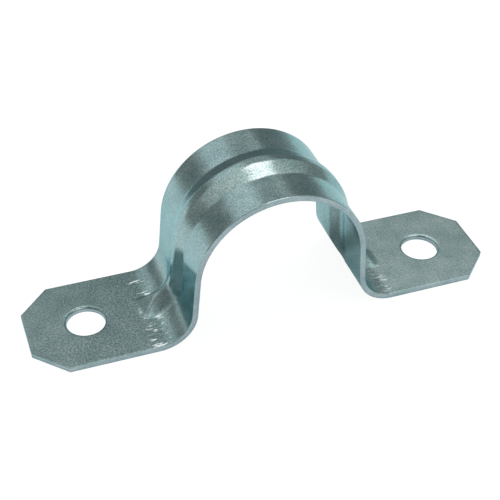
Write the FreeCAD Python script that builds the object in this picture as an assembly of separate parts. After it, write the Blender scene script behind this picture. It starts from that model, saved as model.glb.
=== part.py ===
"""Two-hole conduit strap for 3/4 inch thin-wall steel conduit.

One strip of zinc-plated sheet steel, pressed in one blow: a saddle over the
conduit, two legs that lean out a little, a soft bend at each foot and two
flat ears with a screw hole each. A stiffening rib stands proud along the
middle of the saddle and the legs, and a short gusset crosses each foot bend.

Millimetres, +Z up. X runs from ear to ear and Y along the conduit. The
origin lies under the middle of the strap, on the plane that the ears rest on.
"""

import FreeCAD, Part
import math
import os

from FreeCAD import Vector

# The conduit that the strap holds
conduit_diameter = 23.4

# The blank: a sheared strip of 22 gauge sheet
sheet = 0.85
strip_width = 16.8
corner_cut = 4.4

# The bends, measured on the face away from the wall
leg_lean = 4.4
leg_straight = 5.8
foot_bend_radius = 4.7

# The flat ears and their screw holes
ear_length = 17.06
hole_from_tip = 8.5
hole_diameter = 5.5
hole_rim_round = 0.3

# The rib along the middle
rib_foot_width = 6.0
rib_crest_width = 1.4
rib_height = 0.7
rib_crest_round = 3.0
rib_foot_round = 0.8

# The gusset across each foot bend, a roof that a slightly crowned plane cuts off
gusset_width = 4.3
gusset_rise = 1.75
gusset_slope = 43.5
gusset_crown_radius = 6.0
gusset_foot_round = 0.4

# How far a forming solid reaches past the faces that it has to cross
reach = 1.0

# Two places closer than this are the same place
touch = 0.002

# Worked out from the sizes above
lean = math.radians(leg_lean)
sweep = math.radians(90.0 - leg_lean)
saddle_radius = conduit_diameter / 2.0 + sheet
arch_drop = saddle_radius * (1.0 - math.cos(sweep))
leg_drop = leg_straight * math.sin(sweep)
foot_drop = foot_bend_radius * (1.0 - math.cos(sweep))
band_top = sheet + arch_drop + leg_drop + foot_drop
axis_height = band_top - saddle_radius
rib_slope = math.atan2(rib_height, (rib_foot_width - rib_crest_width) / 2.0)
flank_slope = math.radians(gusset_slope)


def side_point(x, z):
    """A point of the side view, on the middle plane of the strip."""
    return Vector(x, 0.0, z)


def at_angle(centre, radius, angle):
    """The point on a round stretch, with the angle taken from straight up."""
    return centre + Vector(radius * math.sin(angle), 0.0, radius * math.cos(angle))


# The side view of the right half, on the outer skin
saddle_centre = side_point(0.0, axis_height)
leg_along = Vector(math.cos(sweep), 0.0, -math.sin(sweep))
leg_outward = Vector(math.sin(sweep), 0.0, math.cos(sweep))
leg_top = at_angle(saddle_centre, saddle_radius, sweep)
leg_foot = leg_top + leg_along * leg_straight
bend_centre = leg_foot + leg_outward * foot_bend_radius
half_length = bend_centre.x + ear_length
hole_offset = half_length - hole_from_tip


def mirrored(point):
    """The same point on the left half."""
    return Vector(-point.x, point.y, point.z)


def bent_line(depth):
    """The edges of one skin from ear to ear, depth below the outer one."""
    radius = saddle_radius - depth
    bend = foot_bend_radius + depth
    into = leg_outward * -depth
    foot_middle = at_angle(bend_centre, -bend, sweep / 2.0)
    foot_end = bend_centre - Vector(0.0, 0.0, bend)
    half = [leg_top + into, leg_foot + into, foot_middle, foot_end]
    tip = side_point(half_length, foot_end.z)
    top, foot, middle, end = half
    crown = at_angle(saddle_centre, radius, 0.0)
    return [
        Part.makeLine(mirrored(tip), mirrored(end)),
        Part.Arc(mirrored(end), mirrored(middle), mirrored(foot)).toShape(),
        Part.makeLine(mirrored(foot), mirrored(top)),
        Part.Arc(mirrored(top), crown, top).toShape(),
        Part.makeLine(top, foot),
        Part.Arc(foot, middle, end).toShape(),
        Part.makeLine(end, tip),
    ]


def under_skin(depth, floor):
    """All that lies under one skin, down to the floor, over the strip's width."""
    edges = bent_line(depth)
    first = edges[0].Vertexes[0].Point
    last = edges[-1].Vertexes[-1].Point
    low_left = side_point(first.x, floor)
    low_right = side_point(last.x, floor)
    edges.append(Part.makeLine(last, low_right))
    edges.append(Part.makeLine(low_right, low_left))
    edges.append(Part.makeLine(low_left, first))
    side = Part.Face(Part.Wire(edges))
    side.translate(Vector(0.0, -strip_width / 2.0, 0.0))
    return side.extrude(Vector(0.0, strip_width, 0.0))


def rib_section(depth):
    """The rib's cross-section at the crown, depth below the outer skin."""
    narrowing = depth * math.tan(rib_slope / 2.0)
    base = saddle_radius - depth
    crest = base + rib_height
    half_crest = rib_crest_width / 2.0 - narrowing
    half_foot = rib_foot_width / 2.0 - narrowing + reach / math.tan(rib_slope)
    low = base - reach
    soft = rib_crest_round - depth
    run = soft * math.tan(rib_slope / 2.0)
    rise = soft * (1.0 - math.cos(rib_slope / 2.0))
    middle_y = half_crest - run + soft * math.sin(rib_slope / 2.0)

    def point(y, radius):
        return Vector(0.0, y, axis_height + radius)

    right = [
        point(half_crest - run, crest),
        point(middle_y, crest - rise),
        point(half_crest + run * math.cos(rib_slope), crest - run * math.sin(rib_slope)),
        point(half_foot, low),
    ]
    left = [Vector(0.0, -p.y, p.z) for p in right]
    return Part.Wire([
        Part.makeLine(left[3], left[2]),
        Part.Arc(left[2], left[1], left[0]).toShape(),
        Part.makeLine(left[0], right[0]),
        Part.Arc(right[0], right[1], right[2]).toShape(),
        Part.makeLine(right[2], right[3]),
        Part.makeLine(right[3], left[3]),
    ])


def rib(depth):
    """The rib over the saddle and straight on down both legs."""
    across = Vector(0.0, 1.0, 0.0)
    section = Part.Face(rib_section(depth))
    start = section.copy()
    start.rotate(saddle_centre, across, -math.degrees(sweep))
    saddle = start.revolve(saddle_centre, across, 2.0 * math.degrees(sweep))
    run = leg_straight + foot_bend_radius / 2.0 + sheet
    end = section.copy()
    end.rotate(saddle_centre, across, math.degrees(sweep))
    right_leg = end.extrude(leg_along * run)
    left_leg = start.extrude(mirrored(leg_along) * run)
    return saddle.fuse([right_leg, left_leg])


def gusset_half_foot(depth):
    """Half the gusset's width where it leaves the skin."""
    return gusset_width / 2.0 - depth * math.tan(flank_slope / 2.0)


def gusset_roof(depth):
    """The roof that follows the foot bend and the ear at one height."""
    half_foot = gusset_half_foot(depth)
    buried = sheet / 2.0
    half_low = half_foot + buried / math.tan(flank_slope)
    ridge = half_foot * math.tan(flank_slope)
    top = bend_centre - Vector(0.0, 0.0, foot_bend_radius + depth - ridge)
    low = bend_centre - Vector(0.0, 0.0, foot_bend_radius + depth + buried)
    right = low + Vector(0.0, half_low, 0.0)
    left = low - Vector(0.0, half_low, 0.0)
    section = Part.Face(Part.makePolygon([left, right, top, left]))
    over_ear = section.extrude(Vector(ear_length / 4.0, 0.0, 0.0))
    over_bend = section.revolve(bend_centre, Vector(0.0, 1.0, 0.0), math.degrees(sweep))
    return over_bend.fuse(over_ear)


def gusset_cut(depth):
    """All that lies under the crowned plane across the corner of one foot bend."""
    crest_radius = foot_bend_radius - gusset_rise + depth
    corner = at_angle(bend_centre, -crest_radius, sweep / 2.0)
    along = Vector(math.cos(sweep / 2.0), 0.0, -math.sin(sweep / 2.0))
    inward = Vector(-math.sin(sweep / 2.0), 0.0, -math.cos(sweep / 2.0))
    radius = gusset_crown_radius - depth
    half_width = gusset_width / 2.0 + reach
    fall = radius - math.sqrt(radius * radius - half_width * half_width)
    start = corner - along * (foot_bend_radius + reach)
    side = Vector(0.0, half_width, 0.0)
    deep = inward * (foot_bend_radius + reach)
    section = Part.Face(Part.Wire([
        Part.Arc(start + inward * fall - side, start, start + inward * fall + side).toShape(),
        Part.makeLine(start + inward * fall + side, start + deep + side),
        Part.makeLine(start + deep + side, start + deep - side),
        Part.makeLine(start + deep - side, start + inward * fall - side),
    ]))
    return section.extrude(along * (2.0 * foot_bend_radius + 2.0 * reach))


def gusset(depth, side):
    """The gusset across one foot bend."""
    bar = gusset_roof(depth).common(gusset_cut(depth)).removeSplitter()
    if side < 0:
        bar = bar.mirror(Vector(0.0, 0.0, 0.0), Vector(1.0, 0.0, 0.0))
    return bar


def middle_of(edge):
    """The point half-way along an edge."""
    return edge.valueAt((edge.FirstParameter + edge.LastParameter) / 2.0)


def rib_foot_edges(body, depth):
    """The long creases where the slopes of the rib leave the skin."""
    half_foot = rib_foot_width / 2.0 - depth * math.tan(rib_slope / 2.0)
    found = []
    for edge in body.Edges:
        long_enough = edge.Length > leg_straight / 2.0
        at_foot = abs(abs(middle_of(edge).y) - half_foot) < touch
        if long_enough and at_foot:
            found.append(edge)
    return found


def gusset_foot_edges(body):
    """The creases on the outer skin where a gusset leaves the bend and the ear."""
    found = []
    for edge in body.Edges:
        middle = middle_of(edge)
        from_bend = math.hypot(abs(middle.x) - bend_centre.x, middle.z - bend_centre.z)
        on_bend = abs(from_bend - foot_bend_radius) < touch
        on_ear = abs(middle.z - sheet) < touch and abs(middle.x) < half_length - ear_length / 2.0
        near = abs(middle.y) < gusset_half_foot(0.0) + touch and abs(middle.x) > leg_top.x
        if near and (on_bend or on_ear):
            found.append(edge)
    return found


def pressed(depth, floor):
    """Everything under one skin once the rib and the gussets are pressed in."""
    body = under_skin(depth, floor)
    body = body.fuse([rib(depth), gusset(depth, 1), gusset(depth, -1)]).removeSplitter()
    return body.makeFillet(rib_foot_round + depth, rib_foot_edges(body, depth))


def plan_outline():
    """The blank seen from above, a strip with its four corners cut off."""
    end = half_length
    side = strip_width / 2.0
    corners = [
        (-end, -side + corner_cut),
        (-end + corner_cut, -side),
        (end - corner_cut, -side),
        (end, -side + corner_cut),
        (end, side - corner_cut),
        (end - corner_cut, side),
        (-end + corner_cut, side),
        (-end, side - corner_cut),
    ]
    points = [Vector(x, y, -reach) for x, y in corners]
    points.append(points[0])
    blank = Part.Face(Part.makePolygon(points))
    return blank.extrude(Vector(0.0, 0.0, band_top + rib_height + 2.0 * reach))


def hole(side):
    """The cutter for one screw hole, with the soft rim that the punch leaves."""
    radius = hole_diameter / 2.0
    wide = radius + hole_rim_round
    rim_centre = side_point(wide, sheet - hole_rim_round)
    rim_middle = at_angle(rim_centre, hole_rim_round, math.radians(-45.0))
    straight_top = side_point(radius, sheet - hole_rim_round)
    flared_top = side_point(wide, sheet)
    above = sheet + reach
    half = Part.Wire([
        Part.makeLine(side_point(0.0, -reach), side_point(radius, -reach)),
        Part.makeLine(side_point(radius, -reach), straight_top),
        Part.Arc(straight_top, rim_middle, flared_top).toShape(),
        Part.makeLine(flared_top, side_point(wide, above)),
        Part.makeLine(side_point(wide, above), side_point(0.0, above)),
        Part.makeLine(side_point(0.0, above), side_point(0.0, -reach)),
    ])
    cutter = Part.Face(half).revolve(Vector(0.0, 0.0, 0.0), Vector(0.0, 0.0, 1.0), 360.0)
    cutter.translate(Vector(side * hole_offset, 0.0, 0.0))
    return cutter


def strap():
    """The whole strap."""
    outer = pressed(0.0, 0.0)
    outer = outer.makeFillet(gusset_foot_round, gusset_foot_edges(outer))
    body = outer.cut(pressed(sheet, -2.0 * reach))
    body = body.common(plan_outline())
    body = body.cut([hole(1), hole(-1)])
    return body.removeSplitter()


os.makedirs("parts", exist_ok=True)
strap().exportStep("parts/strap.step")
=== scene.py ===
"""A two-hole conduit strap of zinc-plated sheet steel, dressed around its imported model.

The strap is one pressed strip, and it is drawn here as the press makes it: the
strip is bent row by row, holed and cornered, the rib and the gussets are pressed
up out of it, it gets its thickness, and then its sheared edges are finished.
"""

import math

import bpy
from mathutils import Matrix, Vector, noise


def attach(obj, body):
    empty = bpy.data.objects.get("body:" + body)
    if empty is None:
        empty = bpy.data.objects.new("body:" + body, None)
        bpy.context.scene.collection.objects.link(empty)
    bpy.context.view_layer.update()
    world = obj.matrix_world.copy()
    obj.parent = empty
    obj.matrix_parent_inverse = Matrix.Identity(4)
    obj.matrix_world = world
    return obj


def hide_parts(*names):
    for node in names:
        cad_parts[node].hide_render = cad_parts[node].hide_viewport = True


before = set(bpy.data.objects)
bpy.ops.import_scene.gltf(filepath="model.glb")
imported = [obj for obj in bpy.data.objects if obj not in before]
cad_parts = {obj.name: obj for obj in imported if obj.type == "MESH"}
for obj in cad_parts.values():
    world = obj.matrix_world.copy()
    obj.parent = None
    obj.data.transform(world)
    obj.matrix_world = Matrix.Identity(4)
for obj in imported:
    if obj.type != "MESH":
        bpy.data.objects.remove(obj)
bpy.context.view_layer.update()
mm = 0.001


# The bent strip
# One strip of 22 gauge steel, bent over a round saddle, down two legs that
# lean out a little, and out again at each foot into a flat ear. The right half
# is drawn from the crown down, and the left half is its mirror image.

sheet = 0.85 * mm
strip_width = 16.8 * mm
saddle_radius = 11.7 * mm + sheet
leg_lean = math.radians(4.4)
leg_straight = 5.8 * mm
foot_bend_radius = 4.7 * mm
ear_length = 17.06 * mm

# How far apart the rows of the mesh lie on each stretch, and its columns
saddle_row = 0.32 * mm
foot_row = 0.2 * mm
ear_row = 0.4 * mm
column = 0.2 * mm

sweep = math.radians(90.0) - leg_lean
foot_drop = foot_bend_radius * (1.0 - math.cos(sweep))
leg_drop = leg_straight * math.sin(sweep)
saddle_axis = Vector((0.0, 0.0, sheet + foot_drop + leg_drop - saddle_radius * math.cos(sweep)))
crown = saddle_axis + Vector((0.0, 0.0, saddle_radius))
leg_along = Vector((math.cos(sweep), 0.0, -math.sin(sweep)))
leg_outward = Vector((math.sin(sweep), 0.0, math.cos(sweep)))
leg_top = saddle_axis + leg_outward * saddle_radius
leg_foot = leg_top + leg_along * leg_straight
bend_centre = leg_foot + leg_outward * foot_bend_radius
half_length = bend_centre.x + ear_length


def pick(piece, part, wanted):
    """Selects in edit mode the piece's vertices, edges or faces that wanted(element) accepts."""
    bpy.ops.object.mode_set(mode="EDIT")
    bpy.ops.mesh.select_mode(type=part)
    bpy.ops.mesh.select_all(action="DESELECT")
    bpy.ops.object.mode_set(mode="OBJECT")
    elements = {"VERT": piece.data.vertices, "EDGE": piece.data.edges, "FACE": piece.data.polygons}
    for element in elements[part]:
        element.select = wanted(element)
    bpy.ops.object.mode_set(mode="EDIT")


# The strip starts as one edge across the crown, and each stretch draws it on
bpy.ops.object.select_all(action="DESELECT")
bpy.ops.mesh.primitive_plane_add(size=column)
strap = bpy.context.object
strap.name = "pressed_strap"
bpy.ops.object.mode_set(mode="EDIT")
bpy.ops.transform.resize(value=(1.0, strip_width / column, 1.0))
pick(strap, "VERT", lambda vertex: vertex.co.x < 0.0)
bpy.ops.mesh.delete(type="VERT")
bpy.ops.mesh.select_all(action="SELECT")
bpy.ops.mesh.subdivide(number_cuts=round(strip_width / column) - 1)
bpy.ops.transform.translate(value=crown - Vector((column / 2.0, 0.0, 0.0)))
across = (0.0, 1.0, 0.0)
saddle_rows = round(sweep * saddle_radius / saddle_row)
bpy.ops.mesh.spin(steps=saddle_rows, angle=-sweep, center=saddle_axis, axis=across)
leg_rows = round(leg_straight / foot_row)
for row in range(leg_rows):
    bpy.ops.mesh.extrude_edges_move(TRANSFORM_OT_translate={"value": leg_along * (leg_straight / leg_rows)})
bend_rows = round(sweep * foot_bend_radius / foot_row)
bpy.ops.mesh.spin(steps=bend_rows, angle=sweep, center=bend_centre, axis=across)
ear_rows = round(ear_length / ear_row)
for row in range(ear_rows):
    bpy.ops.mesh.extrude_edges_move(TRANSFORM_OT_translate={"value": (ear_length / ear_rows, 0.0, 0.0)})


# The screw holes and the cut corners of the ears
# The blank is a sheared strip with its corners cut off at 45 degrees, and one
# plain round hole is punched in each ear for a screw.

hole_radius = 2.75 * mm
hole_from_tip = 8.5 * mm
hole_rim_round = 0.42 * mm
rim_margin = 0.06 * mm
corner_cut = 4.4 * mm
merge_gap = 0.001 * mm
hole_centre = Vector((half_length - hole_from_tip, 0.0, sheet))

# A square block of the ear's faces gives way to two rings of faces round the hole
block_margin = 1.2 * mm
block = hole_radius + block_margin


def in_block(face):
    """Whether a face of the ear lies in the block round the hole."""
    away = face.center - hole_centre
    return max(abs(away.x), abs(away.y)) < block


pick(strap, "FACE", in_block)
bpy.ops.mesh.delete(type="FACE")
bpy.ops.mesh.select_mode(type="EDGE")
bpy.ops.mesh.select_all(action="SELECT")
bpy.ops.mesh.region_to_loop()
bpy.ops.object.mode_set(mode="OBJECT")
for edge in strap.data.edges:
    ends = [strap.data.vertices[index].co - hole_centre for index in edge.vertices]
    by_hole = all(max(abs(end.x), abs(end.y)) < block + ear_row for end in ends)
    edge.select = edge.select and by_hole
bpy.ops.object.mode_set(mode="EDIT")
for ring in (hole_radius + hole_rim_round + rim_margin, hole_radius):
    bpy.ops.mesh.extrude_edges_move(TRANSFORM_OT_translate={"value": (0.0, 0.0, 0.0)})
    bpy.ops.object.mode_set(mode="OBJECT")
    for vertex in strap.data.vertices:
        if vertex.select:
            vertex.co = hole_centre + (vertex.co - hole_centre).normalized() * ring
    bpy.ops.object.mode_set(mode="EDIT")

corner_middle = Vector((half_length - corner_cut / 2.0, strip_width / 2.0 - corner_cut / 2.0, 0.0))
for side in (1.0, -1.0):
    bpy.ops.mesh.select_all(action="SELECT")
    bpy.ops.mesh.bisect(
        plane_co=(corner_middle.x, side * corner_middle.y, 0.0),
        plane_no=(1.0, side, 0.0),
        clear_outer=True,
    )
bpy.ops.object.mode_set(mode="OBJECT")
mirror = strap.modifiers.new("left_half", "MIRROR")
mirror.merge_threshold = merge_gap
bpy.ops.object.modifier_apply(modifier=mirror.name)
bpy.ops.object.mode_set(mode="EDIT")
bpy.ops.mesh.select_all(action="SELECT")
bpy.ops.mesh.remove_doubles(threshold=merge_gap)
bpy.ops.mesh.normals_make_consistent(inside=False)
bpy.ops.object.mode_set(mode="OBJECT")


# The rib and the gussets
# A stiffening rib runs over the saddle and down both legs, and a short blunt
# bar crosses each foot bend. The press raises both out of the sheet in one
# blow, so their creases are soft, and it leaves the sheet a little uneven.

rib_foot_half = 3.0 * mm
rib_crest_half = 0.7 * mm
rib_height = 0.7 * mm
rib_foot_softness = 0.04 * mm
rib_crest_softness = 0.09 * mm

# A gusset's sides are steep and crisp by the ear, and gentler and softer at the leg.
# Its crest falls off from the middle by the bulge times the distance squared.
gusset_half = 2.15 * mm
gusset_rise = 1.75 * mm
gusset_slope = 0.95
gusset_top_slope = 0.45
gusset_bulge = 80.0
gusset_softness = 0.16 * mm
gusset_top_softness = 1.0 * mm
gusset_edge_softness = 0.7 * mm

# The hollow beneath a gusset is whole below the first share of the bend's height
# and gone above the second. From plain_from outwards the ear is plain sheet.
hollow_full = 0.14
hollow_top = 0.42
plain_from = 20.5 * mm
plain_fade = 1.0 * mm
unevenness = 0.05 * mm
uneven_length = 5.0 * mm

gusset_facing = Vector((math.sin(sweep / 2.0), 0.0, math.cos(sweep / 2.0)))
gusset_corner = bend_centre - gusset_facing * (foot_bend_radius - gusset_rise)

# A form that doesn't reach a point counts as this low there. It reaches only skin
# that faces its way, and this is the least cosine between the two ways.
out_of_reach = -10.0 * mm
steepest = 0.3


def between(first, second, share):
    """The value that lies at a share of the way from first to second."""
    return first + (second - first) * share


def eased(share):
    """A share from 0 to 1 with a soft start and end."""
    share = min(max(share, 0.0), 1.0)
    return share * share * (3.0 - 2.0 * share)


def soft_max(a, b, softness):
    """The larger of two heights, rounded over where they meet."""
    nearness = max(softness - abs(a - b), 0.0) / softness
    return max(a, b) + nearness * nearness * softness / 4.0


def soft_min(a, b, softness):
    """The smaller of two heights, rounded over where they meet."""
    return -soft_max(-a, -b, softness)


def up_the_bend(point):
    """How far up the foot bend a point lies, from 0 on the ear to 1 at its top and above."""
    return min(max((point.z - sheet) / foot_bend_radius, 0.0), 1.0)


def rib_profile(y):
    """The height of the rib's section at a distance y from the middle."""
    slope = rib_height / (rib_foot_half - rib_crest_half)
    return soft_min((rib_foot_half - abs(y)) * slope, rib_height, rib_crest_softness)


def raised_by(point, facing, with_gusset=True):
    """How far the press raises a point of the plain strip, along the way it faces.

    Without the gusset, only the rib raises it.
    """
    here = Vector((abs(point.x), point.y, point.z))
    outward = Vector((abs(facing.x), facing.y, facing.z))
    rib = out_of_reach
    if here.z > leg_foot.z:
        rib = rib_profile(here.y)
    elif outward.dot(leg_outward) > steepest:
        rib = ((leg_foot - here).dot(leg_outward) + rib_profile(here.y)) / outward.dot(leg_outward)
    up = up_the_bend(here)
    gusset = out_of_reach
    if with_gusset and here.z < leg_top.z and outward.dot(gusset_facing) > steepest:
        crest = (gusset_corner - here).dot(gusset_facing) / outward.dot(gusset_facing)
        crowned = crest - gusset_bulge * here.y * here.y
        flank = (gusset_half - abs(here.y)) * between(gusset_slope, gusset_top_slope, up)
        gusset = soft_min(crowned, flank, between(gusset_softness, gusset_edge_softness, up))
    softness = between(gusset_softness, gusset_top_softness, up)
    return soft_max(soft_max(0.0, rib, rib_foot_softness), gusset, softness)


# The top skin is raised now. The skin beneath gets its place once the sheet has its
# thickness: the hollow of a gusset ends short of the leg, where the sheet is thicker.
beneath = []
for vertex, facing in [(vertex, vertex.normal.copy()) for vertex in strap.data.vertices]:
    plain = vertex.co.copy()
    up = up_the_bend(plain)
    sunk = (0.5 - 0.5 * noise.noise(plain / uneven_length)) * unevenness * up
    raised = raised_by(plain, facing)
    vertex.co += facing * (raised - sunk)
    rib_alone = raised_by(plain, facing, with_gusset=False)
    hollow = between(rib_alone, raised, eased((up - hollow_top) / (hollow_full - hollow_top)))
    down_the_leg = eased((leg_top.z - plain.z) / (leg_top.z - leg_foot.z))
    before_plain = eased((plain_from - abs(plain.x)) / plain_fade)
    beneath.append((plain + facing * (hollow - sunk - sheet), down_the_leg * before_plain))


# The zinc plating
# Bright zinc over rolled strip: a cool grey metal, a little cloudy and grainy,
# with fine rolling marks along the strip and scuffs where the die drew it
# down at the foot bends. The sheared edges are paler and more even.

zinc_dark = (0.155, 0.268, 0.280, 1.0)
zinc_light = (0.400, 0.520, 0.530, 1.0)
zinc_grazing = (0.70, 0.92, 0.96, 1.0)

# The patterns of the plating, in waves to a metre. Rolling draws the marks out.
cloud_scale = 320.0
grain_scale = 4600.0
speckle_scale = 3500.0
marks_scale = 4200.0
marks_drawn_out = (0.06, 1.0, 0.06)
pattern_roughness = 0.6


def place(tree, kind, inputs=None, **settings):
    """Adds a node to a tree. An input is given as a value or as the socket that feeds it."""
    made = tree.nodes.new(kind)
    for name, value in settings.items():
        setattr(made, name, value)
    for name, value in (inputs or {}).items():
        if isinstance(value, bpy.types.NodeSocket):
            tree.links.new(value, made.inputs[name])
        else:
            made.inputs[name].default_value = value
    return made


def work_out(tree, operation, *values):
    """The result of one operation on values that change over the surface."""
    return place(tree, "ShaderNodeMath", dict(enumerate(values)), operation=operation).outputs[0]


def blend(tree, share, first, second, **settings):
    """Mixes two colours by a share that changes over the surface."""
    mix = place(tree, "ShaderNodeMix", {0: share, 6: first, 7: second}, data_type="RGBA", **settings)
    return mix.outputs[2]


def ramp(tree, value, start, end, low=0.0, high=1.0):
    """Takes a value from start to end over to a soft climb from low to high."""
    made = place(tree, "ShaderNodeMapRange", {
        "Value": value, "From Min": start, "From Max": end, "To Min": low, "To Max": high},
        interpolation_type="SMOOTHSTEP")
    return made.outputs[0]


grain_group = bpy.data.node_groups.new("plating_grain", "ShaderNodeTree")
grain_group.interface.new_socket("Place", in_out="INPUT", socket_type="NodeSocketVector")
for output in ("Cloud", "Grain", "Speckle", "Marks"):
    grain_group.interface.new_socket(output, in_out="OUTPUT", socket_type="NodeSocketFloat")
group_in = place(grain_group, "NodeGroupInput").outputs["Place"]
group_out = place(grain_group, "NodeGroupOutput")
drawn_out = place(grain_group, "ShaderNodeMapping", {"Vector": group_in, "Scale": marks_drawn_out})
for output, spread, scale, detail in (
    ("Cloud", group_in, cloud_scale, 3.0),
    ("Grain", group_in, grain_scale, 2.0),
    ("Speckle", group_in, speckle_scale, 2.0),
    ("Marks", drawn_out.outputs[0], marks_scale, 3.0),
):
    pattern = place(grain_group, "ShaderNodeTexNoise", {
        "Vector": spread, "Scale": scale, "Detail": detail, "Roughness": pattern_roughness})
    grain_group.links.new(pattern.outputs[0], group_out.inputs[output])


def zinc(name):
    """Starts a zinc material, and gives its tree, its shader, its place and its plating."""
    made = bpy.data.materials.new(name)
    made.use_nodes = True
    shader = made.node_tree.nodes["Principled BSDF"]
    shader.inputs["Metallic"].default_value = 1.0
    shader.inputs["Specular Tint"].default_value = zinc_grazing
    spot = place(made.node_tree, "ShaderNodeTexCoord").outputs["Object"]
    plating = place(made.node_tree, "ShaderNodeGroup", {"Place": spot}, node_tree=grain_group)
    return made, made.node_tree, shader, spot, plating.outputs


# The fresh plating, whose tone follows the grain and a part of the clouds
cloud_in_tone = 0.35
tone_darkest = 0.485
tone_lightest = 0.865

skin, tree, shader, spot, plating = zinc("zinc_skin")
tone = work_out(tree, "MULTIPLY_ADD", plating["Cloud"], cloud_in_tone, plating["Grain"])
toned = place(tree, "ShaderNodeMapRange", {
    "Value": tone, "From Min": tone_darkest, "From Max": tone_lightest})
fresh = blend(tree, toned.outputs[0], zinc_dark, zinc_light)
axes = place(tree, "ShaderNodeSeparateXYZ", {0: spot}).outputs
along_strip = work_out(tree, "ABSOLUTE", axes["X"])
across_strip = work_out(tree, "ABSOLUTE", axes["Y"])

# The gussets keep the fresh plating, without the painted shade and the scuffs. Each pair,
# here and below, is where a patch begins to show and where it shows in full.
gusset_sides = (2.5 * mm, 1.9 * mm)
gusset_end = (18.5 * mm, 17.9 * mm)
gusset_bottom = (0.87 * mm, 1.0 * mm)
gusset_top = (4.4 * mm, 3.4 * mm)
on_gusset = ramp(tree, across_strip, *gusset_sides)
for limit in (
    ramp(tree, along_strip, *gusset_end),
    ramp(tree, axes["Z"], *gusset_bottom),
    ramp(tree, axes["Z"], *gusset_top),
):
    on_gusset = work_out(tree, "MULTIPLY", on_gusset, limit)
off_gusset = work_out(tree, "SUBTRACT", 1.0, on_gusset)

# The left ear is painted darker than the rest, most of all by its bend and at its front:
# painted shade for the darker studio that it mirrors, over the plating's own speckled grain
zinc_shaded_speckle_dark = (0.42, 0.46, 0.47, 1.0)
zinc_shaded_speckle_light = (0.73, 0.78, 0.765, 1.0)
painted_shade_by_bend = (-14.5 * mm, -18.0 * mm)
towards_tip = (-20.0 * mm, -31.0 * mm)
towards_front = (1.0 * mm, -7.0 * mm)
painted_shade_at_tip = 0.68
painted_shade_at_front = 1.4
speckle_contrast = (0.36, 0.64)
from_bend = ramp(tree, axes["X"], *painted_shade_by_bend)
to_tip = ramp(tree, axes["X"], *towards_tip, 1.0, painted_shade_at_tip)
to_front = ramp(tree, axes["Y"], *towards_front, 1.0, painted_shade_at_front)
painted_shade_share = place(tree, "ShaderNodeMath", {
    0: work_out(tree, "MULTIPLY", from_bend, to_tip), 1: to_front}, operation="MULTIPLY", use_clamp=True)
painted_shade_share = work_out(tree, "MULTIPLY", painted_shade_share.outputs[0], off_gusset)
speckled = ramp(tree, plating["Speckle"], *speckle_contrast)
shaded_speckle = blend(tree, speckled, zinc_shaded_speckle_dark, zinc_shaded_speckle_light)
colour = blend(tree, painted_shade_share, fresh, shaded_speckle, blend_type="MULTIPLY")

# The left leg is painted lighter down its shoulder, above the foot: a painted reflection of the bright
# floor
zinc_painted_sheen = (0.54, 0.68, 0.71, 1.0)
painted_sheen_at_most = 0.22
left_shoulder = (-9.5 * mm, -12.5 * mm)
out_of_foot = (1.6 * mm, 3.4 * mm)
down_shoulder = ramp(tree, axes["X"], *left_shoulder, 0.0, painted_sheen_at_most)
above_foot = ramp(tree, axes["Z"], *out_of_foot)
colour = blend(tree, work_out(tree, "MULTIPLY", down_shoulder, above_foot), colour, zinc_painted_sheen)

# The scuffs lie in a band across each foot bend, drawn out along the strip
zinc_scuffed = (0.70, 0.84, 0.86, 1.0)
scuff_start = 15.4 * mm
scuff_end = 18.9 * mm
scuff_fade = 1.0 * mm
scuff_scale = 2400.0
scuffs_drawn_out = (0.22, 1.0, 0.22)
cloud_in_scuffs = 0.45
rubbed = (0.80, 0.92)
into_band = ramp(tree, along_strip, scuff_start, scuff_start + scuff_fade)
out_of_band = ramp(tree, along_strip, scuff_end, scuff_end - scuff_fade)
drawn_out = place(tree, "ShaderNodeMapping", {"Vector": spot, "Scale": scuffs_drawn_out})
streaks = place(tree, "ShaderNodeTexNoise", {
    "Vector": drawn_out.outputs[0], "Scale": scuff_scale, "Detail": 2.0, "Roughness": 0.5})
clustered = work_out(tree, "MULTIPLY_ADD", plating["Cloud"], cloud_in_scuffs, streaks.outputs[0])
scuffs = ramp(tree, clustered, *rubbed)
scuffs = work_out(tree, "MULTIPLY", scuffs, work_out(tree, "MULTIPLY", into_band, out_of_band))
scuffs = work_out(tree, "MULTIPLY", scuffs, off_gusset)
colour = blend(tree, scuffs, colour, zinc_scuffed)

# The metal is painted lighter in reflections, a painted reflection: where the leg mirrors
# the ear, the ear looks brighter than it does from above
zinc_painted_reflection = (0.65, 0.90, 0.96, 1.0)
painted_reflection_share = 0.22
in_a_mirror = place(tree, "ShaderNodeLightPath").outputs["Is Glossy Ray"]
mirrored = work_out(tree, "MULTIPLY", in_a_mirror, painted_reflection_share)
tree.links.new(blend(tree, mirrored, colour, zinc_painted_reflection), shader.inputs["Base Color"])

# The flat ears and the gussets are more matt than the drawn saddle
ear_heights = (6.0 * mm, 0.9 * mm)
saddle_roughness = 0.12
ear_roughness = 0.27
cloud_roughness = 0.10
gusset_roughness = 0.10
matt = ramp(tree, axes["Z"], *ear_heights, saddle_roughness, ear_roughness)
rough = work_out(tree, "MULTIPLY", plating["Cloud"], cloud_roughness)
rough = work_out(tree, "MULTIPLY_ADD", on_gusset, gusset_roughness, rough)
tree.links.new(work_out(tree, "ADD", matt, rough), shader.inputs["Roughness"])

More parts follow.
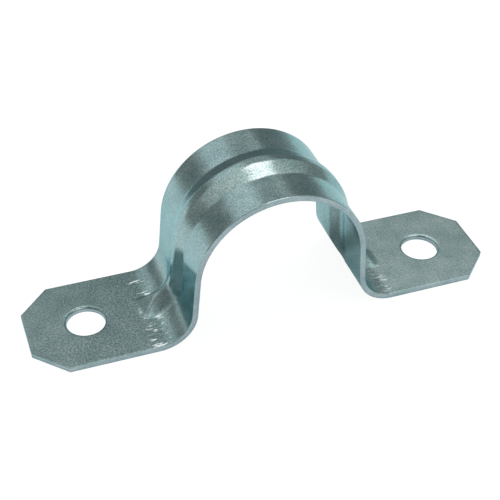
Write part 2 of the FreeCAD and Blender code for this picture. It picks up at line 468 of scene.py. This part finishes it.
# The grain and the rolling marks stand out a little, and the scuffs a little more
grain_strength = 0.5
grain_depth = 0.02 * mm
scuff_strength = 0.4
scuff_depth = 0.04 * mm
relief = work_out(tree, "ADD", plating["Grain"], plating["Marks"])
bumps = place(tree, "ShaderNodeBump", {
    "Height": relief, "Strength": grain_strength, "Distance": grain_depth}).outputs[0]
bumps = place(tree, "ShaderNodeBump", {
    "Height": scuffs, "Strength": scuff_strength, "Distance": scuff_depth, "Normal": bumps}).outputs[0]
tree.links.new(bumps, shader.inputs["Normal"])
strap.data.materials.append(skin)

# The sheared edges have the same plating on a paler cut, even in its gloss
sheared_dark = (0.26, 0.36, 0.39, 1.0)
sheared_light = (0.42, 0.51, 0.54, 1.0)
sheared_roughness = 0.30
sheared_darkest = 0.72
sheared_lightest = 1.28
sheared_strength = 0.35
sheared, tree, shader, _, plating = zinc("zinc_sheared_edge")
shader.inputs["Roughness"].default_value = sheared_roughness
tone = work_out(tree, "ADD", plating["Cloud"], plating["Grain"])
toned = place(tree, "ShaderNodeMapRange", {
    "Value": tone, "From Min": sheared_darkest, "From Max": sheared_lightest})
tree.links.new(blend(tree, toned.outputs[0], sheared_dark, sheared_light), shader.inputs["Base Color"])
bumps = place(tree, "ShaderNodeBump", {
    "Height": plating["Grain"], "Strength": sheared_strength, "Distance": grain_depth}).outputs[0]
tree.links.new(bumps, shader.inputs["Normal"])
strap.data.materials.append(sheared)


# The sheet's thickness and its edges
# Sheared 22 gauge sheet: the shear breaks its long edges a little, and the punch
# leaves a rolled rim on the top of each hole.

edge_break = 0.09 * mm
edge_segments = 2
rim_segments = 4
touch = 0.01 * mm
sheared_corner = math.radians(60.0)
sharpest_smooth = math.radians(50.0)

thickness = strap.modifiers.new("thickness", "SOLIDIFY")
thickness.thickness = sheet
thickness.offset = -1.0
thickness.use_even_offset = True
thickness.use_quality_normals = True
thickness.material_offset_rim = 1
bpy.ops.object.modifier_apply(modifier=thickness.name)

# The skin beneath follows the top one's vertices in the same order. By the feet it
# moves to the place kept for it, and then all stays in the strip's width and above
# the face that the ears rest on.
for index, (place_beneath, by_foot) in enumerate(beneath):
    vertex = strap.data.vertices[len(beneath) + index]
    vertex.co = vertex.co.lerp(place_beneath, by_foot)
for vertex in strap.data.vertices:
    vertex.co.y = max(-strip_width / 2.0, min(strip_width / 2.0, vertex.co.y))
    vertex.co.z = max(0.0, vertex.co.z)


def on_hole_rim(edge):
    """Whether an edge is part of the top rim of either hole."""
    ends = [strap.data.vertices[index].co for index in edge.vertices]
    flat = [Vector((abs(end.x) - hole_centre.x, end.y)) for end in ends]
    on_top = all(abs(end.z - sheet) < touch for end in ends)
    return on_top and all(abs(away.length - hole_radius) < touch for away in flat)


pick(strap, "EDGE", on_hole_rim)
bpy.ops.mesh.bevel(offset=hole_rim_round, segments=rim_segments, face_strength_mode="AFFECTED")
bpy.ops.mesh.select_all(action="DESELECT")
bpy.ops.mesh.edges_select_sharp(sharpness=sheared_corner)
bpy.ops.mesh.bevel(offset=edge_break, segments=edge_segments, face_strength_mode="AFFECTED")
bpy.ops.object.mode_set(mode="OBJECT")
bpy.ops.object.shade_smooth_by_angle(angle=sharpest_smooth)
shading = strap.modifiers.new("flat_faces_stay_flat", "WEIGHTED_NORMAL")
shading.keep_sharp = True
shading.use_face_influence = True
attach(strap, "root")
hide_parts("strap")


# The floor
# A plain pale studio floor, which the camera sees as nearly white with the
# strap's shadow on it. The metal mirrors it in soft painted patches of light and
# dark: a strip of shade under the arch, a lighter one behind that, and a dark
# patch that only the reflections see.

floor_size = 4.0
floor_colour = (0.90, 0.99, 1.0, 1.0)
white = (1.0, 1.0, 1.0, 1.0)

# How much of the floor's look is a level of its own and not the studio's light on
# it, as the camera sees it and as the metal mirrors each patch of it
seen_by_camera = 0.84
left_patch = 0.42
right_patch = 0.04
front_patch = 0.28
dark_patch_share = 0.75
shade_patch = 0.40
past_shade_patch = 0.36
bright_level = 1.1
dark_level = 0.03


def fade(tree, share, first, second):
    """Goes from the first value to the second by a share that changes over the floor."""
    return place(tree, "ShaderNodeMix", {0: share, 2: first, 3: second}).outputs[0]


bpy.ops.mesh.primitive_plane_add(size=floor_size)
floor = bpy.context.object
floor.name = "floor"
pale = bpy.data.materials.new("pale_floor")
pale.use_nodes = True
tree = pale.node_tree
shader = tree.nodes["Principled BSDF"]
shader.inputs["Base Color"].default_value = floor_colour
shader.inputs["Roughness"].default_value = 1.0
shader.inputs["Specular IOR Level"].default_value = 0.0
sight = place(tree, "ShaderNodeLightPath").outputs
spot = place(tree, "ShaderNodeTexCoord").outputs["Object"]
axes = place(tree, "ShaderNodeSeparateXYZ", {0: spot}).outputs

# The mirrored floor is brighter to the strap's left than to its right, and even in front
left_to_right = (-30.0 * mm, -14.0 * mm)
back_to_front = (4.0 * mm, -6.0 * mm)
to_right = ramp(tree, axes["X"], *left_to_right, left_patch, right_patch)
in_front = ramp(tree, axes["Y"], *back_to_front)
mirrored = fade(tree, in_front, to_right, front_patch)

# The painted dark patch, which only the metal's reflections see, fans out behind the
# strap. A bearing runs from -1, left, to 1, right.
dark_patch_front = (16.0 * mm, 30.0 * mm)
dark_patch_left = (-0.46, -0.34)
dark_patch_right = (0.62, 0.50)
towards = place(tree, "ShaderNodeVectorMath", {0: spot}, operation="NORMALIZE")
bearing = place(tree, "ShaderNodeSeparateXYZ", {0: towards.outputs[0]}).outputs["X"]
on_dark_patch = sight["Is Glossy Ray"]
for limit in (
    ramp(tree, axes["Y"], *dark_patch_front),
    ramp(tree, bearing, *dark_patch_left),
    ramp(tree, bearing, *dark_patch_right),
):
    on_dark_patch = work_out(tree, "MULTIPLY", on_dark_patch, limit)
mirrored = fade(tree, on_dark_patch, mirrored, dark_patch_share)

# The strip of shade lies under the back of the arch, and the lighter one behind it
leg_to_leg = (15.0 * mm, 13.0 * mm)
shade_front = (1.0 * mm, 4.5 * mm)
shade_back = (9.5 * mm, 5.5 * mm)
past_shade_front = (8.5 * mm, 12.0 * mm)
past_shade_back = (20.0 * mm, 16.0 * mm)
from_middle = work_out(tree, "ABSOLUTE", axes["X"])
between_legs = work_out(tree, "MULTIPLY", ramp(tree, from_middle, *leg_to_leg), sight["Is Glossy Ray"])
strips = []
for front, back in ((shade_front, shade_back), (past_shade_front, past_shade_back)):
    strip = work_out(tree, "MULTIPLY", ramp(tree, axes["Y"], *front), ramp(tree, axes["Y"], *back))
    strips.append(work_out(tree, "MULTIPLY", strip, between_legs))
in_shade, past_shade = strips
mirrored = fade(tree, in_shade, mirrored, shade_patch)
mirrored = fade(tree, past_shade, mirrored, past_shade_patch)

dark = work_out(tree, "MAXIMUM", on_dark_patch, in_shade)
level = ramp(tree, dark, 0.0, 1.0, bright_level, dark_level)
seen = work_out(tree, "MULTIPLY", sight["Is Camera Ray"], seen_by_camera)
share = work_out(tree, "MULTIPLY_ADD", sight["Is Glossy Ray"], mirrored, seen)
glow = place(tree, "ShaderNodeEmission", {"Color": white, "Strength": level})
mixed = place(tree, "ShaderNodeMixShader", {0: share, 1: shader.outputs[0], 2: glow.outputs[0]})
tree.links.new(mixed.outputs[0], tree.nodes["Material Output"].inputs["Surface"])
floor.data.materials.append(pale)


# The studio light
# A soft box overhead behind the strap, in a room that is dim round the horizon
# and bright overhead. Soft-edged cards of light and dark stand round it, and
# they give the metal its bands.

box_azimuth = math.radians(21.0)
box_elevation = math.radians(66.0)
box_distance = 0.5
box_size = 0.21
box_power = 0.32
box_colour = (1.0, 0.74, 0.73)

# The room's level at heights from 0, the horizon, to 1, straight overhead
room_levels = ((0.0, 0.55), (0.10, 0.42), (0.36, 0.42), (0.62, 0.78), (0.80, 0.95), (1.0, 1.3))
room_tint = (1.0, 0.97, 0.92)

# Each card's bearing from straight behind the strap, its height and its reach, all in
# degrees, and its level
cards = (
    (-46.0, 17.0, 13.0, 0.31),      # dark, behind on the left
    (-154.0, 49.0, 27.0, 0.30),     # dark, high in front on the left
    (-130.0, 18.0, 38.0, 0.20),     # dark and wide, low on the left
    (-20.0, 24.0, 12.0, 0.60),      # half dark, behind and a little to the left
    (-22.0, 41.0, 17.0, 1.05),      # bright, above the last
    (11.0, 43.0, 12.0, 0.54),       # half dark, beside the bright one
    (36.0, 22.0, 16.0, 0.30),       # dark, behind on the right
    (-6.0, 2.0, 17.0, 0.22),        # dark, on the horizon behind
    (15.0, 2.0, 19.0, 0.22),        # dark, beside the last
    (155.0, 54.0, 20.0, 2.6),       # very bright, high in front on the right
)

# A card has its full level over this share of its reach, and fades out over the rest
card_core = 0.6


def way_to(azimuth, elevation):
    """The way from the strap to a place in the studio, where azimuth 0 is straight behind."""
    return Vector((
        math.sin(azimuth) * math.cos(elevation),
        math.cos(azimuth) * math.cos(elevation),
        math.sin(elevation),
    ))


box_way = way_to(box_azimuth, box_elevation)
bpy.ops.object.light_add(type="AREA", location=box_way * box_distance)
soft_box = bpy.context.object
soft_box.rotation_euler = box_way.to_track_quat("Z", "Y").to_euler()
soft_box.data.size = box_size
soft_box.data.energy = box_power
soft_box.data.color = box_colour

world = bpy.data.worlds.new("studio")
world.use_nodes = True
bpy.context.scene.world = world
tree = world.node_tree
way = place(tree, "ShaderNodeTexCoord").outputs["Generated"]
height = place(tree, "ShaderNodeSeparateXYZ", {0: way}).outputs["Z"]
walls = place(tree, "ShaderNodeValToRGB", {0: height})
walls.color_ramp.interpolation = "EASE"
stops = walls.color_ramp.elements
while len(stops) < len(room_levels):
    stops.new(1.0)
for stop, (at, level) in zip(stops, room_levels):
    stop.position = at
    stop.color = (*(level * part for part in room_tint), 1.0)


def studio_card(behind, azimuth, elevation, reach, level):
    """Adds to the room a soft-edged patch of one level, seen under some angle."""
    reach = math.radians(reach)
    towards = way_to(math.radians(azimuth), math.radians(elevation))
    near = place(tree, "ShaderNodeVectorMath", {0: way, 1: towards}, operation="DOT_PRODUCT")
    share = ramp(tree, near.outputs["Value"], math.cos(reach), math.cos(reach * card_core))
    return blend(tree, share, behind, (level, level, level, 1.0))


room = walls.outputs[0]
for card in cards:
    room = studio_card(room, *card)
sky = tree.nodes["Background"]
tree.links.new(room, sky.inputs["Color"])
backdrop = place(tree, "ShaderNodeBackground", {"Color": white, "Strength": 1.0})
sight = place(tree, "ShaderNodeLightPath").outputs
mixed = place(tree, "ShaderNodeMixShader", {
    0: sight["Is Camera Ray"], 1: sky.outputs[0], 2: backdrop.outputs[0]})
tree.links.new(mixed.outputs[0], tree.nodes["World Output"].inputs["Surface"])
bpy.context.scene.view_settings.view_transform = "Standard"


# The camera
# It looks down on the strap from the left of its front, at the photograph's
# angle, and leans a little to one side as the photograph does.

camera_azimuth = math.radians(-20.47)
camera_elevation = math.radians(39.98)
camera_lean = math.radians(1.446)
camera_distance = 158.4 * mm
camera_target = Vector((-1.674 * mm, 0.0, 7.50 * mm))
camera_lens = 79.4
camera_sensor = 36.0
nearest_seen = 10.0 * mm

backward = Vector((
    math.sin(camera_azimuth) * math.cos(camera_elevation),
    -math.cos(camera_azimuth) * math.cos(camera_elevation),
    math.sin(camera_elevation),
))
sideways = Vector((0.0, 0.0, 1.0)).cross(backward).normalized()
upward = backward.cross(sideways)
rightward = sideways * math.cos(camera_lean) + upward * math.sin(camera_lean)
bpy.ops.object.camera_add(location=camera_target + backward * camera_distance)
camera = bpy.context.object
camera.rotation_euler = Matrix((rightward, backward.cross(rightward), backward)).transposed().to_euler()
camera.data.lens = camera_lens
camera.data.sensor_width = camera_sensor
camera.data.clip_start = nearest_seen
bpy.context.scene.camera = camera
